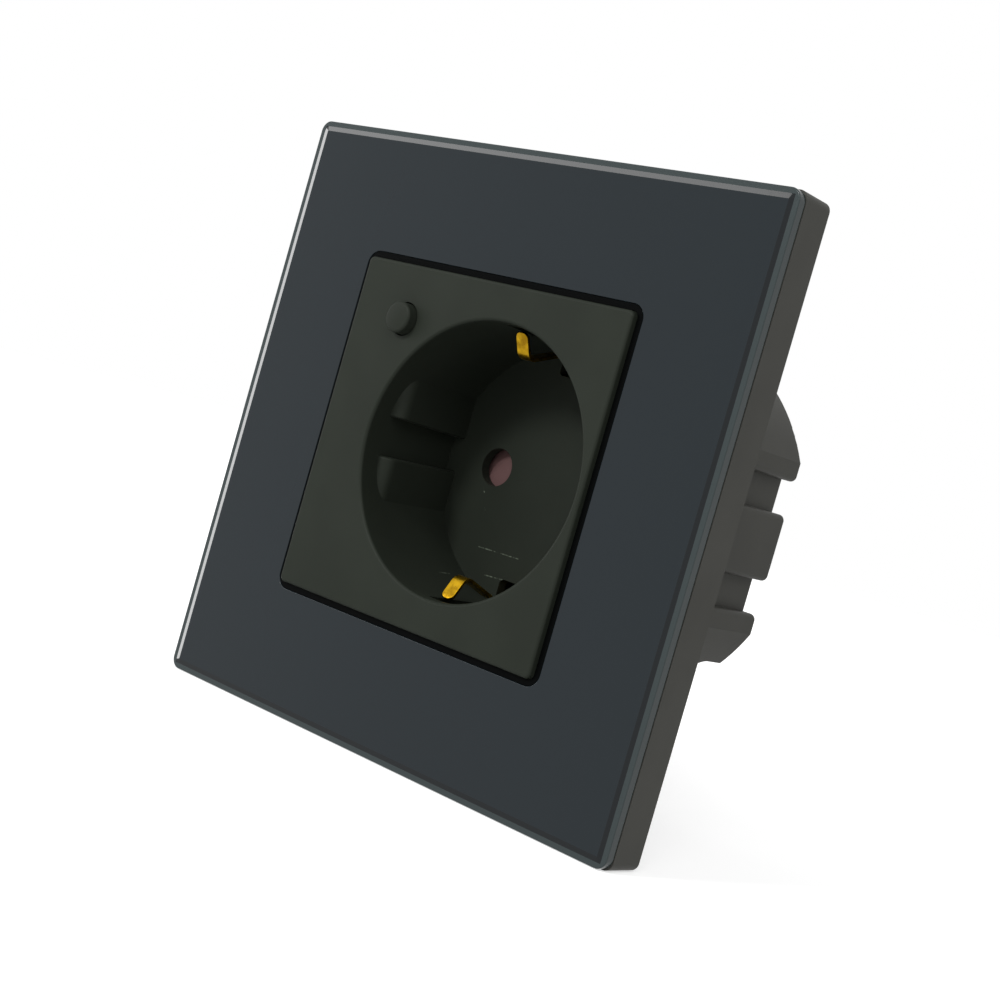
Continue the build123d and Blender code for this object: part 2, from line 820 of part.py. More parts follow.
def housing_screws():
    """Two long screws that pull the housing onto the insert."""
    screws = []
    for z in (-housing_screw_z, housing_screw_z):
        tip = head_seat - housing_screw_length
        shank = rod_y(housing_screw_radius, tip, head_seat + overlap, housing_screw_x, z)
        head_back = head_seat + housing_screw_head
        head = rod_y(housing_screw_head_radius, head_seat, head_back, housing_screw_x, z)
        edge = [e for e in head.edges() if abs(e.center().Y - head_back) < 1e-6]
        head = fillet(edge, housing_screw_round)
        recess = cross_recess(housing_screw_x, z, housing_screw_recess, head_back, housing_screw_head_radius)
        screws.append(shank + head - recess)
    return Compound(children=screws)


def build():
    """Every piece of the socket, by node name."""
    pieces = {
        "glass_panel": glass_panel(),
        "panel_frame": panel_frame(),
        "trim_ring": trim_ring(),
        "mounting_plate": mounting_plate(),
        "plate_screws": plate_screws(),
        "socket_insert": socket_insert(),
        "push_button": push_button(),
        "switch_plunger": switch_plunger(),
        "tact_switch": tact_switch(),
        "shutter": shutter(),
        "shutter_spring": shutter_spring(),
        "earth_bracket": earth_bracket(),
        "live_contact": contact(pin_x[0]),
        "neutral_contact": contact(pin_x[1]),
        "contact_carrier": contact_carrier(),
        "terminal_screws": terminal_screws(),
        "circuit_board": circuit_board(),
        "relay": board_block(relay_size, relay_x),
        "power_supply": board_block(supply_size, supply_x),
        "capacitor": capacitor(),
        "housing_ring": housing_ring(),
        "rear_housing": rear_housing(),
        "housing_screws": housing_screws(),
    }
    for name, x in clamp_places().items():
        pieces[name + "_clamp"] = clamp(x)
    return pieces


os.makedirs("parts", exist_ok=True)
for node, shape in build().items():
    export_step(shape, "parts/" + node + ".step")
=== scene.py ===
"""Finish of a flush-mounted wall socket: glass panel, moulded insert, button, springs and housing.

The socket stands in its own frame in metres: +X to the viewer's right, +Y into the wall, +Z up.
"""

from math import cos, pi, radians, sin, tan

import bmesh
import bpy
from mathutils import Matrix, Vector


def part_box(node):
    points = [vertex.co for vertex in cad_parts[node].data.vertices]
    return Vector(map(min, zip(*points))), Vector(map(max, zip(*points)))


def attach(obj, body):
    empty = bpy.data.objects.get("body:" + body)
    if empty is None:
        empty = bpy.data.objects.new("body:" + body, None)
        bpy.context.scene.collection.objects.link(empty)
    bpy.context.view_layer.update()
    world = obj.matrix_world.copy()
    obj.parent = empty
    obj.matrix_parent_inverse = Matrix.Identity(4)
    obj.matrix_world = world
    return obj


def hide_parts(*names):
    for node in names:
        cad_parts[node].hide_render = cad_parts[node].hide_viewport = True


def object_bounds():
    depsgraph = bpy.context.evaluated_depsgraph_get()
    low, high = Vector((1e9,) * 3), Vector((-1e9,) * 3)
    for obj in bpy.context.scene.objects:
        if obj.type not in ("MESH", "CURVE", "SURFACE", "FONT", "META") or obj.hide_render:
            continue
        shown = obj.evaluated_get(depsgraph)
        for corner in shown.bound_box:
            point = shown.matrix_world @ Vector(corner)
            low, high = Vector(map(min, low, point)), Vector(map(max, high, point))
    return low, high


bl_info = {
    "name": "Wall Socket Finish",
    "version": (1, 0, 0),
    "blender": (4, 5, 0),
    "location": "3D View > Sidebar > Wall Socket",
    "description": "Models and finishes a wall socket around its packed frame",
    "category": "Object",
}

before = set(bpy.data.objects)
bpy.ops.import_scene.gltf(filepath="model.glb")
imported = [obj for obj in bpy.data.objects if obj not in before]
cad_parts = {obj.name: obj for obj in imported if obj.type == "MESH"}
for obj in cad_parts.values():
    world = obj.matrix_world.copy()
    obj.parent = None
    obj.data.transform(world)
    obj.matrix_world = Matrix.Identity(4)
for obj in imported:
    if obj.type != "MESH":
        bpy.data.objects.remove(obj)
cad_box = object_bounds()

MM = 0.001

SMOOTH_ANGLE = radians(30)
ROUND_STEPS = 8

# Mouldings: roughness, size and depth of the grain in millimetres, and specular level
MOULDINGS = {
    "insert_plastic": (0.45, 0.12, 0.002, 0.07),
    "button_plastic": (0.42, 0.12, 0.002, 0.07),
    "body_plastic": (0.5, 0.15, 0.003, 0.12),
    "trim_plastic": (0.35, 0.2, 0.001, 0.02),
    "shutter_plastic": (0.4, 0.15, 0.001, 0.1),
    "case_plastic": (0.35, 0.1, 0.001, 0.3),
    "capacitor_sleeve": (0.25, 0.4, 0.002, 0.3),
}

BRASS_NODES = ("live_contact", "neutral_contact", "live_clamp", "earth_clamp", "neutral_clamp")
STEEL_NODES = (
    "mounting_plate",
    "plate_screws",
    "terminal_screws",
    "housing_screws",
    "shutter_spring",
)

# Scratches in the plug well, painted pale as highlights: start, end and width in millimetres
SCRATCH_HIGHLIGHTS = (
    ((-5.0, 9.86, -11.82), (3.05, 9.86, -11.66), 0.1),
    ((-5.4, 3.9, -16.65), (-5.45, 6.4, -16.62), 0.08),
    ((-2.07, 9.86, -15.43), (1.33, 9.86, -15.23), 0.1),
    ((-6.85, 9.86, -3.5), (-6.5, 9.86, -4.0), 0.12),
    ((-5.6, 9.86, -6.2), (-5.4, 9.86, -6.45), 0.12),
)


def paint(code):
    """A display colour such as 3a3c38 as linear red, green and blue."""
    parts = [int(code[i : i + 2], 16) / 255 for i in (0, 2, 4)]
    return tuple(c / 12.92 if c <= 0.04045 else ((c + 0.055) / 1.055) ** 2.4 for c in parts)


def length(name, about, millimetres):
    """A size in metres with its name and description."""
    return bpy.props.FloatProperty(
        name=name, description=about, default=millimetres * MM, unit="LENGTH", precision=5
    )


def share(name, about, default):
    """A plain factor."""
    return bpy.props.FloatProperty(name=name, description=about, default=default)


def focal_length(name, about, millimetres):
    """A lens in millimetres."""
    return bpy.props.FloatProperty(
        name=name, description=about, default=millimetres, unit="CAMERA"
    )


def turn(name, about, degrees):
    """An angle given in degrees."""
    return bpy.props.FloatProperty(
        name=name, description=about, default=radians(degrees), subtype="ANGLE"
    )


def tint(name, about, code):
    """A colour given as a display code."""
    return bpy.props.FloatVectorProperty(
        name=name, description=about, default=paint(code), subtype="COLOR", min=0, max=1
    )


class SocketSizes(bpy.types.PropertyGroup):
    """Sizes of the pieces that are modelled here."""

    glass_corner: length("Glass Corner", "Radius of the glass panel's corners", 1.6)
    glass_rim: length("Glass Rim", "Width of the clear rim outside the paint", 0.8)
    glass_slope: length("Glass Slope", "Width of the slope between face and rim", 0.7)
    glass_step: length("Glass Step", "Drop from the face to the rim", 0.1)
    glass_arris: length("Glass Arris", "Rounding of the glass edges", 0.12)
    opening: length("Opening", "Side of the square opening in the glass", 50.8)
    opening_corner: length("Opening Corner", "Radius of the opening's corners", 2.0)
    button_radius: length("Button Radius", "Radius of the push button", 2.25)
    button_edge: length("Button Edge", "Rounding of the button's edge", 0.45)
    button_crown: length("Button Crown", "Height of the button's domed front", 0.08)
    button_flange: length("Button Flange", "Thickness of the hidden flange", 1.0)
    flange_depth: length("Flange Depth", "Front of the flange behind the insert's face", 5.5)
    button_stem: length("Button Stem", "Radius of the stem behind the flange", 1.2)
    well_x: length("Well Offset", "Centre of the plug well to the right of the panel's", 4.0)
    leaf_width: length("Leaf Width", "Width of the earth spring's leaf", 2.1)
    leaf_inset: length("Leaf Inset", "Tip of the leaf's middle line behind the spring's front", 0.2)
    leaf_tip_height: length("Leaf Tip Height", "Tip of the leaf above the well's axis", 18.9)
    knee_depth: length("Knee Depth", "Inner bend of the leaf behind the wall plane", -1.94)
    knee_height: length("Knee Height", "Inner bend of the leaf above the well's axis", 15.4)
    hip_depth: length("Hip Depth", "Outer bend of the leaf behind the wall plane", 4.26)
    hip_height: length("Hip Height", "Outer bend of the leaf above the well's axis", 17.5)
    run_depth: length("Run Depth", "Start of the level run behind the wall plane", 6.46)
    run_height: length("Run Height", "Level run above the well's axis", 17.9)
    strap_width: length("Strap Width", "Width of the strap behind the well's floor", 5.0)
    strap_gap: length("Strap Gap", "Gap between the strap and the contact carrier", 0.1)
    shoulder_gap: length("Shoulder Gap", "Widening of the strap behind the shutter's front", 0.4)
    tail_drop: length("Tail Drop", "Top of the tail below the carrier's lower side", 1.0)
    tail_end: length("Tail End", "End of the tail above the well's axis", -14.45)
    spring_thickness: length("Spring Thickness", "Thickness of the spring metal", 0.5)
    spring_bend: length("Spring Bend", "Radius of the bends along the middle of the metal", 1.4)
    spring_edge: length("Spring Edge", "Rounding of the spring's stamped edges", 0.09)


class SocketColours(bpy.types.PropertyGroup):
    """Colours of the finishes."""

    glass: tint("Glass", "Back-painted glass", "141d22")
    rim: tint("Glass Rim", "Clear rim of the glass", "2f3839")
    insert: tint("Insert", "Moulded insert and button", "262a24")
    body: tint("Body", "Panel frame and rear housing", "42423e")
    trim: tint("Trim", "Black trim ring", "050606")
    # The shutter's pink is painted darker, as painted shade of the pin hole in front of it
    shutter: tint("Shutter", "Pin shutter", "684f4e")
    gold: tint("Springs", "Gold-plated springs", "c89e1c")
    brass: tint("Brass", "Contacts and clamps", "c9a45a")
    steel: tint("Steel", "Zinc-plated plate and screws", "b4b7ba")
    board: tint("Board", "Circuit board", "1f5a36")
    relay: tint("Relay", "Relay and supply cases", "23262a")
    sleeve: tint("Sleeve", "Capacitor sleeve", "1c2a52")


class SocketStage(bpy.types.PropertyGroup):
    """Camera, lamps and floor."""

    azimuth: turn("Azimuth", "Camera direction round the panel", 39.99)
    elevation: turn("Elevation", "Camera height angle", 1.98)
    roll: turn("Roll", "Camera turn about its own line of sight", 16.05)
    lens: focal_length("Lens", "Focal length on a 36 mm sensor", 63.41)
    distance: length("Distance", "Camera distance from the panel's centre", 239.84)
    aim_right: length("Aim Right", "Panel centre to the right of the image centre", -7.033)
    aim_up: length("Aim Up", "Panel centre above the image centre", 6.076)
    floor_size: length("Floor Size", "Side of the floor", 2400)
    floor_gap: length("Floor Gap", "Gap between the panel and the floor", 0.02)
    sky_level: share("Sky Level", "Even light from all round", 0.34)
    key_level: share("Key Level", "Light of the main lamp on the panel", 0.48)
    fill_level: share("Fill Level", "Light of the broad right lamp on the panel", 0.35)
    strip_level: share("Strip Level", "Light of the narrow left lamp on the panel", 0.14)
    upper_level: share("Upper Level", "Light of the upper left lamp on the panel", 0.12)
    floor_level: share("Floor Level", "Own brightness of the floor far away", 0.7)
    # The floor's brightness beside the object is lowered by this share, as painted shade
    near_shade_level: share("Near Level", "Share of it beside the object", 0.78)


class Wire:
    """An output socket that takes part in Python expressions by adding Math nodes."""

    def __init__(self, tree, socket=None):
        self.tree = tree
        self.socket = socket

    def make(self, kind, settings, inputs, output=0):
        """Adds any node from its type, its settings and the values or links of its sockets."""
        node = self.tree.nodes.new(kind)
        for name, value in settings.items():
            setattr(node, name, value)
        for name, value in inputs.items():
            if isinstance(value, Wire):
                self.tree.links.new(value.socket, node.inputs[name])
            else:
                node.inputs[name].default_value = value
        return Wire(self.tree, node.outputs[output] if len(node.outputs) else None)

    def math(self, operation, first, second=0.0):
        """A Math node."""
        return self.make("ShaderNodeMath", {"operation": operation}, {0: first, 1: second})

    def __add__(self, other):
        return self.math("ADD", self, other)

    def __radd__(self, other):
        return self.math("ADD", other, self)

    def __sub__(self, other):
        return self.math("SUBTRACT", self, other)

    def __rsub__(self, other):
        return self.math("SUBTRACT", other, self)

    def __mul__(self, other):
        return self.math("MULTIPLY", self, other)

    def __truediv__(self, other):
        return self.math("DIVIDE", self, other)

    def clamp(self):
        """The value kept between 0 and 1."""
        return self.make("ShaderNodeClamp", {}, {"Value": self})

    def step(self, low, high):
        """0 below the low value and 1 above the high one, smooth between."""
        settings = {"interpolation_type": "SMOOTHSTEP"}
        inputs = {"Value": self, "From Min": low, "From Max": high}
        return self.make("ShaderNodeMapRange", settings, inputs)

    def mix(self, first, second):
        """Two colours mixed by this value."""
        settings = {"data_type": "RGBA"}
        inputs = {0: self, 6: colour_value(first), 7: colour_value(second)}
        return self.make("ShaderNodeMix", settings, inputs, 2)

    def vector(self, operation, other=(0, 0, 0)):
        """A Vector Math node, whose number comes out where the result is one."""
        output = "Value" if operation in ("DOT_PRODUCT", "DISTANCE", "LENGTH") else "Vector"
        settings = {"operation": operation}
        return self.make("ShaderNodeVectorMath", settings, {0: self, 1: other}, output)

    def distance_to(self, start, end):
        """Distance of this place to a straight line between two points."""
        run = Vector(end) - Vector(start)
        offset = self.vector("SUBTRACT", tuple(start))
        along = (offset.vector("DOT_PRODUCT", tuple(run)) / run.length_squared).clamp()
        inputs = {0: tuple(run), "Scale": along}
        nearest = self.make("ShaderNodeVectorMath", {"operation": "SCALE"}, inputs)
        return offset.vector("DISTANCE", nearest)

    def axis(self, name):
        """One coordinate of this place."""
        return self.make("ShaderNodeSeparateXYZ", {}, {"Vector": self}, name)


def colour_value(value):
    """A colour with its fourth value, or a link as it is."""
    return value if isinstance(value, Wire) else (*value[:3], 1.0)


class Finish:
    """A material with one Principled shader and its Object coordinates."""

    def __init__(self, name, **constants):
        self.material = bpy.data.materials.new(name)
        self.material.use_nodes = True
        tree = self.material.node_tree
        tree.nodes.clear()
        self.tree = tree
        end = tree.nodes.new("ShaderNodeOutputMaterial")
        self.shader = tree.nodes.new("ShaderNodeBsdfPrincipled")
        tree.links.new(self.shader.outputs[0], end.inputs["Surface"])
        self.place = Wire(tree).make("ShaderNodeTexCoord", {}, {}, "Object")
        for name, value in constants.items():
            self.set(name.replace("_", " ").title().replace("Ior", "IOR"), value)

    def set(self, name, value):
        """Links or sets a socket of the shader."""
        socket = self.shader.inputs[name]
        if isinstance(value, Wire):
            self.tree.links.new(value.socket, socket)
        elif socket.type == "RGBA":
            socket.default_value = colour_value(value)
        else:
            socket.default_value = value

    def noise(self, size, detail=2.0, rough=0.5):
        """Noise whose lumps are about that size in metres."""
        inputs = {"Vector": self.place, "Scale": 1 / size, "Detail": detail, "Roughness": rough}
        return self.place.make("ShaderNodeTexNoise", {}, inputs)

    def bump(self, height, depth):
        """Sends a height to the shader's normal, with its depth in metres."""
        inputs = {"Height": height, "Distance": depth, "Strength": 1.0}
        self.set("Normal", self.place.make("ShaderNodeBump", {}, inputs))


def shade(colour, factor):
    """A colour made lighter or darker by a factor."""
    return tuple(min(1.0, c * factor) for c in colour[:3])


def moulded(name, colour, scratch_highlights=()):
    """Moulded plastic: faint flow marks, a fine spark-eroded grain, uneven gloss and scratches
    painted pale as highlights.
    """
    roughness, grain, grain_depth, specular = MOULDINGS[name]
    finish = Finish(name, specular_ior_level=specular)
    flow = finish.noise(12 * MM, 3.0)
    tone = flow.step(0.3, 0.7).mix(shade(colour, 0.93), shade(colour, 1.07))
    # Scratch lines are painted many times paler than the plastic, as painted highlights
    highlight_tone = shade(colour, 7.5)
    for start, end, width in scratch_highlights:
        gap = finish.place.distance_to([c * MM for c in start], [c * MM for c in end])
        broken = finish.noise(0.5 * MM, 3.0).step(0.35, 0.65)
        mark = (1 - gap.step(0.3 * width * MM, width * MM)) * broken
        tone = mark.mix(tone, highlight_tone)
    finish.set("Base Color", tone)
    fine = finish.noise(grain * MM, 2.0, 0.6)
    finish.set("Roughness", roughness + (fine - 0.5) * 0.12)
    finish.bump(fine, grain_depth * MM)
    return finish.material


def glass_finish(colours, half, rim, slope):
    """Back-painted glass: a deep colour, a slope painted darker as painted shade, and a paler rim
    outside it.
    """
    finish = Finish("painted_glass", specular_ior_level=0.3)
    cloud = finish.noise(40 * MM, 2.0)
    painted = cloud.mix(shade(colours.glass, 0.94), shade(colours.glass, 1.06))
    speck = finish.noise(1.6 * MM, 1.0).step(0.83, 0.86)
    painted = (speck * 0.5).mix(painted, shade(colours.rim, 1.5))
    across = finish.place.axis("X")
    upward = finish.place.axis("Z")
    reach = across.math("MAXIMUM", across.math("ABSOLUTE", across), upward.math("ABSOLUTE", upward))
    blur = 0.02 * MM
    edge = reach.step(half - rim - blur, half - rim + blur)
    # The slope between the face and the rim is painted darker, as painted shade
    slope_shade = reach.step(half - rim - slope - blur, half - rim - slope + blur)
    painted = slope_shade.mix(painted, shade(colours.glass, 0.4))
    finish.set("Base Color", edge.mix(painted, colours.rim))
    haze = finish.noise(3 * MM, 4.0)
    finish.set("Roughness", 0.07 + haze.step(0.55, 0.8) * 0.04 + edge * 0.12)
    return finish.material


def metal(name, colour, roughness):
    """Rolled or plated metal with a fine uneven lustre."""
    finish = Finish(name, metallic=1.0)
    cloud = finish.noise(2.5 * MM, 3.0)
    finish.set("Base Color", cloud.mix(shade(colour, 0.85), shade(colour, 1.08)))
    fine = finish.noise(0.25 * MM, 2.0)
    finish.set("Roughness", roughness + (fine - 0.5) * 0.15)
    finish.bump(fine, 0.002 * MM)
    return finish.material


def gold_finish(colour):
    """Gold plate over stamped brass: deep yellow, darker in patches, with fine rolling lines."""
    finish = Finish("gold_plate", metallic=1.0)
    cloud = finish.noise(1.6 * MM, 3.0)
    deep = (colour[0] * 0.5, colour[1] * 0.46, colour[2] * 0.4)
    finish.set("Base Color", cloud.step(0.3, 0.7).mix(deep, colour))
    fine = finish.noise(0.2 * MM, 2.0)
    finish.set("Roughness", 0.3 + (fine - 0.5) * 0.15)
    finish.bump(fine, 0.003 * MM)
    return finish.material


def board_finish(colours):
    """Green solder mask over copper tracks."""
    finish = Finish("solder_mask", specular_ior_level=0.5)
    inputs = {"Vector": finish.place, "Scale": 1 / (2.2 * MM)}
    tracks = finish.place.make("ShaderNodeTexVoronoi", {"feature": "DISTANCE_TO_EDGE"}, inputs)
    lines = 1 - tracks.step(0.05, 0.12)
    finish.set("Base Color", lines.mix(colours.board, shade(colours.board, 1.7)))
    finish.set("Roughness", 0.35 + lines * 0.1)
    finish.bump(lines, 0.03 * MM)
    return finish.material


def lay_out(obj, material):
    """Gives an object one material."""
    obj.data.materials.clear()
    obj.data.materials.append(material)


def finish_node(node, material):
    """Gives a node of the frame its material."""
    lay_out(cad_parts[node], material)


def select_only(obj):
    """Selects one object alone and makes it active."""
    bpy.ops.object.select_all(action="DESELECT")
    obj.select_set(True)
    bpy.context.view_layer.objects.active = obj


def take_new(name):
    """The object that was just added, with its placing applied and its name set."""
    bpy.ops.object.transform_apply(location=True, rotation=True, scale=True)
    obj = bpy.context.object
    obj.name = name
    obj.data.name = name
    return obj


def begin(obj):
    """Selects one object alone and enters edit mode with nothing selected."""
    select_only(obj)
    bpy.ops.object.mode_set(mode="EDIT")
    bpy.ops.mesh.select_all(action="DESELECT")


def choose(obj, kind, test):
    """Selects the faces, edges or verts of the mesh in edit mode that pass a test."""
    bpy.ops.mesh.select_mode(type={"faces": "FACE", "edges": "EDGE", "verts": "VERT"}[kind])
    bpy.ops.mesh.select_all(action="DESELECT")
    mesh = bmesh.from_edit_mesh(obj.data)
    for item in getattr(mesh, kind):
        if test(item):
            item.select_set(True)
    mesh.select_flush_mode()
    bmesh.update_edit_mesh(obj.data)


def finish_mesh():
    """Leaves edit mode with merged points, outward faces and soft shading of shallow edges."""
    bpy.ops.mesh.select_all(action="SELECT")
    bpy.ops.mesh.remove_doubles(threshold=0.0005 * MM)
    bpy.ops.mesh.normals_make_consistent(inside=False)
    bpy.ops.object.mode_set(mode="OBJECT")
    bpy.ops.object.shade_smooth_by_angle(angle=SMOOTH_ANGLE)


def apply_modifier(obj, kind, **settings):
    """Adds a modifier, sets it and applies it."""
    modifier = obj.modifiers.new(kind.lower(), kind)
    for name, value in settings.items():
        setattr(modifier, name, value)
    bpy.context.view_layer.objects.active = obj
    bpy.ops.object.modifier_apply(modifier=modifier.name)


def flatten_normals(obj):
    """Keeps large flat faces flat between their rounded edges."""
    select_only(obj)
    bpy.ops.object.shade_smooth()
    apply_modifier(obj, "WEIGHTED_NORMAL", mode="FACE_AREA", weight=100, keep_sharp=True)


def rounded_path(points, radius):
    """The points of a broken line in Y and Z with each corner turned into an arc."""
    path = [Vector(points[0])]
    for before, corner, after in zip(points, points[1:], points[2:]):
        corner = Vector(corner)
        back = (Vector(before) - corner).normalized()
        ahead = (Vector(after) - corner).normalized()
        half = back.angle(ahead) / 2
        middle = corner + (back + ahead).normalized() * radius / sin(half)
        reach = radius / tan(half)
        start = corner + back * reach - middle
        turn_by = pi - 2 * half
        sense = 1 if start.x * ahead.y - start.y * ahead.x > 0 else -1
        for i in range(ROUND_STEPS + 1):
            angle = sense * turn_by * i / ROUND_STEPS
            spun_y = start.x * cos(angle) - start.y * sin(angle)
            spun_z = start.x * sin(angle) + start.y * cos(angle)
            path.append(middle + Vector((spun_y, spun_z)))
    path.append(Vector(points[-1]))
    return path


def ribbon(name, x, path, half_widths, thickness, edge):
    """A strip of sheet metal with rounded edges, extruded along a path in Y and Z."""
    bpy.ops.object.select_all(action="DESELECT")
    start = path[0]
    bpy.ops.mesh.primitive_plane_add(size=2 * half_widths[0], location=(x, start.x, start.y))
    obj = take_new(name)
    begin(obj)
    choose(obj, "edges", lambda e: e.verts[0].co.y > start.x and e.verts[1].co.y > start.x)
    back = max(v.co.y for v in obj.data.vertices) - start.x
    bpy.ops.transform.translate(value=(0, -back, 0))
    halfway = start.x - back / 2
    choose(obj, "edges", lambda e: e.verts[0].co.y < halfway and e.verts[1].co.y < halfway)
    bpy.ops.mesh.delete(type="VERT")
    bpy.ops.mesh.select_all(action="SELECT")
    for before, place, width_before, width in zip(path, path[1:], half_widths, half_widths[1:]):
        step = place - before
        bpy.ops.mesh.extrude_region_move(TRANSFORM_OT_translate={"value": (0, step.x, step.y)})
        factor = width / width_before
        bpy.ops.transform.resize(value=(factor, 1, 1), center_override=(x, place.x, place.y))
    finish_mesh()
    apply_modifier(obj, "SOLIDIFY", thickness=thickness, offset=0, use_even_offset=True)
    apply_modifier(
        obj, "BEVEL", width=edge, segments=3, limit_method="ANGLE", angle_limit=radians(50)
    )
    return obj


def new_box(name, low, high):
    """A cuboid between two corners, as the start of a piece."""
    low = Vector(low)
    high = Vector(high)
    bpy.ops.object.select_all(action="DESELECT")
    bpy.ops.mesh.primitive_cube_add(size=1, location=(low + high) / 2, scale=high - low)
    return take_new(name)


def rounded_slab(name, half, corner, front, back, steps=ROUND_STEPS):
    """A square slab about the panel's centre with round corners along Y."""
    obj = new_box(name, (-half, front, -half), (half, back, half))
    begin(obj)
    choose(obj, "edges", lambda e: abs(e.verts[0].co.y - e.verts[1].co.y) > (back - front) / 2)
    bpy.ops.mesh.bevel(offset=corner, offset_type="OFFSET", segments=steps, affect="EDGES")
    return obj


def turned(name, x, z, steps, sides=96):
    """A round piece along Y: a disc extruded and scaled through its (radius, y) steps."""
    radius, y = steps[0]
    bpy.ops.object.select_all(action="DESELECT")
    bpy.ops.mesh.primitive_circle_add(
        vertices=sides, radius=radius, fill_type="NGON", location=(x, y, z), rotation=(pi / 2, 0, 0)
    )
    obj = take_new(name)
    begin(obj)
    bpy.ops.mesh.select_all(action="SELECT")
    for next_radius, next_y in steps[1:]:
        bpy.ops.mesh.extrude_region_move(TRANSFORM_OT_translate={"value": (0, next_y - y, 0)})
        factor = next_radius / radius
        bpy.ops.transform.resize(value=(factor, 1, factor), center_override=(x, next_y, z))
        radius, y = next_radius, next_y
    return obj


class SocketOperator:
    """What every operator here shares."""

    bl_options = {"REGISTER", "UNDO"}


class SOCKET_OT_stage(SocketOperator, bpy.types.Operator):
    """Sets up the floor, the white surroundings, the lamps and the camera"""

    bl_idname = "socket.stage"
    bl_label = "Stage"

    def execute(self, context):
        stage = context.scene.socket_stage
        self.surroundings(context, stage)
        self.floor(stage)
        # Each lamp: azimuth and elevation in degrees, distance, width and height in metres
        self.lamp("key_lamp", (-13, 28, 2.4), (0.48, 0.48), stage.key_level)
        self.lamp("fill_lamp", (42, 38, 2.4), (1.6, 1.6), stage.fill_level)
        self.lamp("strip_lamp", (-65.5, 0, 2.5), (0.22, 1.25), stage.strip_level)
        self.lamp("upper_lamp", (-44, 21, 2.5), (1.25, 0.35), stage.upper_level)
        self.camera(context, stage)
        context.scene.view_settings.view_transform = "Standard"
        return {"FINISHED"}

    def seen_rays(self, tree):
        """1 for what the camera sees, straight, in a mirror or through glass."""
        start = Wire(tree)
        camera = start.make("ShaderNodeLightPath", {}, {}, "Is Camera Ray")
        glossy = start.make("ShaderNodeLightPath", {}, {}, "Is Glossy Ray")
        through = start.make("ShaderNodeLightPath", {}, {}, "Is Transmission Ray")
        return (camera + glossy + through).clamp()

    def surroundings(self, context, stage):
        """White all round for the camera, and an even light of its own level."""
        world = bpy.data.worlds.new("surroundings")
        world.use_nodes = True
        tree = world.node_tree
        tree.nodes.clear()
        seen = self.seen_rays(tree)
        strength = seen * (1 - stage.sky_level) + stage.sky_level
        inputs = {"Color": (1, 1, 1, 1), "Strength": strength}
        light = seen.make("ShaderNodeBackground", {}, inputs)
        seen.make("ShaderNodeOutputWorld", {}, {"Surface": light})
        context.scene.world = world

    def floor(self, stage):
        """A pale floor, white for the camera, with painted shade beside the object, that keeps the
        shadow and isn't mirrored.
        """
        bpy.ops.object.select_all(action="DESELECT")
        level = cad_box[0][2] - stage.floor_gap
        bpy.ops.mesh.primitive_plane_add(size=stage.floor_size, location=(0, 0, level))
        floor = take_new("floor")
        material = bpy.data.materials.new("pale_floor")
        material.use_nodes = True
        tree = material.node_tree
        tree.nodes.clear()
        seen = self.seen_rays(tree)
        start = Wire(tree)
        matt = start.make("ShaderNodeBsdfDiffuse", {}, {"Color": (0.95, 0.95, 0.95, 1)})
        place = start.make("ShaderNodeTexCoord", {}, {}, "Object")
        # The floor's own brightness rises between these distances from the object, in metres; the
        # dimmer part beside it is painted shade
        near, far = 0.15, 0.6
        away = place.vector("LENGTH").step(near, far)
        tone = away.mix((stage.near_shade_level,) * 3, (1, 1, 1))
        inputs = {"Color": tone, "Strength": seen * stage.floor_level}
        glow = start.make("ShaderNodeEmission", {}, inputs)
        both = start.make("ShaderNodeAddShader", {}, {0: matt, 1: glow})
        mirrored = start.make("ShaderNodeLightPath", {}, {}, "Is Glossy Ray")
        clear = start.make("ShaderNodeBsdfTransparent", {}, {})
        shown = start.make("ShaderNodeMixShader", {}, {0: mirrored, 1: both, 2: clear})
        start.make("ShaderNodeOutputMaterial", {}, {"Surface": shown})
        lay_out(floor, material)

    def lamp(self, name, direction, size, level):
        """A soft lamp, as wide and high as the size, that lights the panel's centre to a level."""
        azimuth, elevation, distance = direction
        data = bpy.data.lights.new(name, "AREA")
        data.shape = "RECTANGLE"
        data.size, data.size_y = size
        data.energy = level * pi**2 * distance**2
        lamp = bpy.data.objects.new(name, data)
        bpy.context.scene.collection.objects.link(lamp)
        across = radians(azimuth)
        above = radians(elevation)
        back = Vector((sin(across) * cos(above), -cos(across) * cos(above), sin(above)))
        facing = back.to_track_quat("Z", "Y").to_matrix().to_4x4()
        lamp.matrix_world = Matrix.Translation(back * distance) @ facing

    def camera(self, context, stage):
        """The photograph's view of the panel."""
        data = bpy.data.cameras.new("camera")
        data.sensor_width = 36
        data.lens = stage.lens
        data.clip_start = 0.01
        data.clip_end = 20
        camera = bpy.data.objects.new("camera", data)
        context.scene.collection.objects.link(camera)
        azimuth, elevation = stage.azimuth, stage.elevation
        level = cos(elevation)
        right = Vector((cos(azimuth), sin(azimuth), 0))
        back = Vector((sin(azimuth) * level, -cos(azimuth) * level, sin(elevation)))
        up = back.cross(right)
        across = right * cos(stage.roll) + up * sin(stage.roll)
        above = up * cos(stage.roll) - right * sin(stage.roll)
        target = Vector((0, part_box("glass_panel")[0].y, 0))
        place = target - across * stage.aim_right - above * stage.aim_up + back * stage.distance
        turned_to = Matrix((across, above, back)).transposed().to_4x4()
        camera.matrix_world = Matrix.Translation(place) @ turned_to
        context.scene.camera = camera


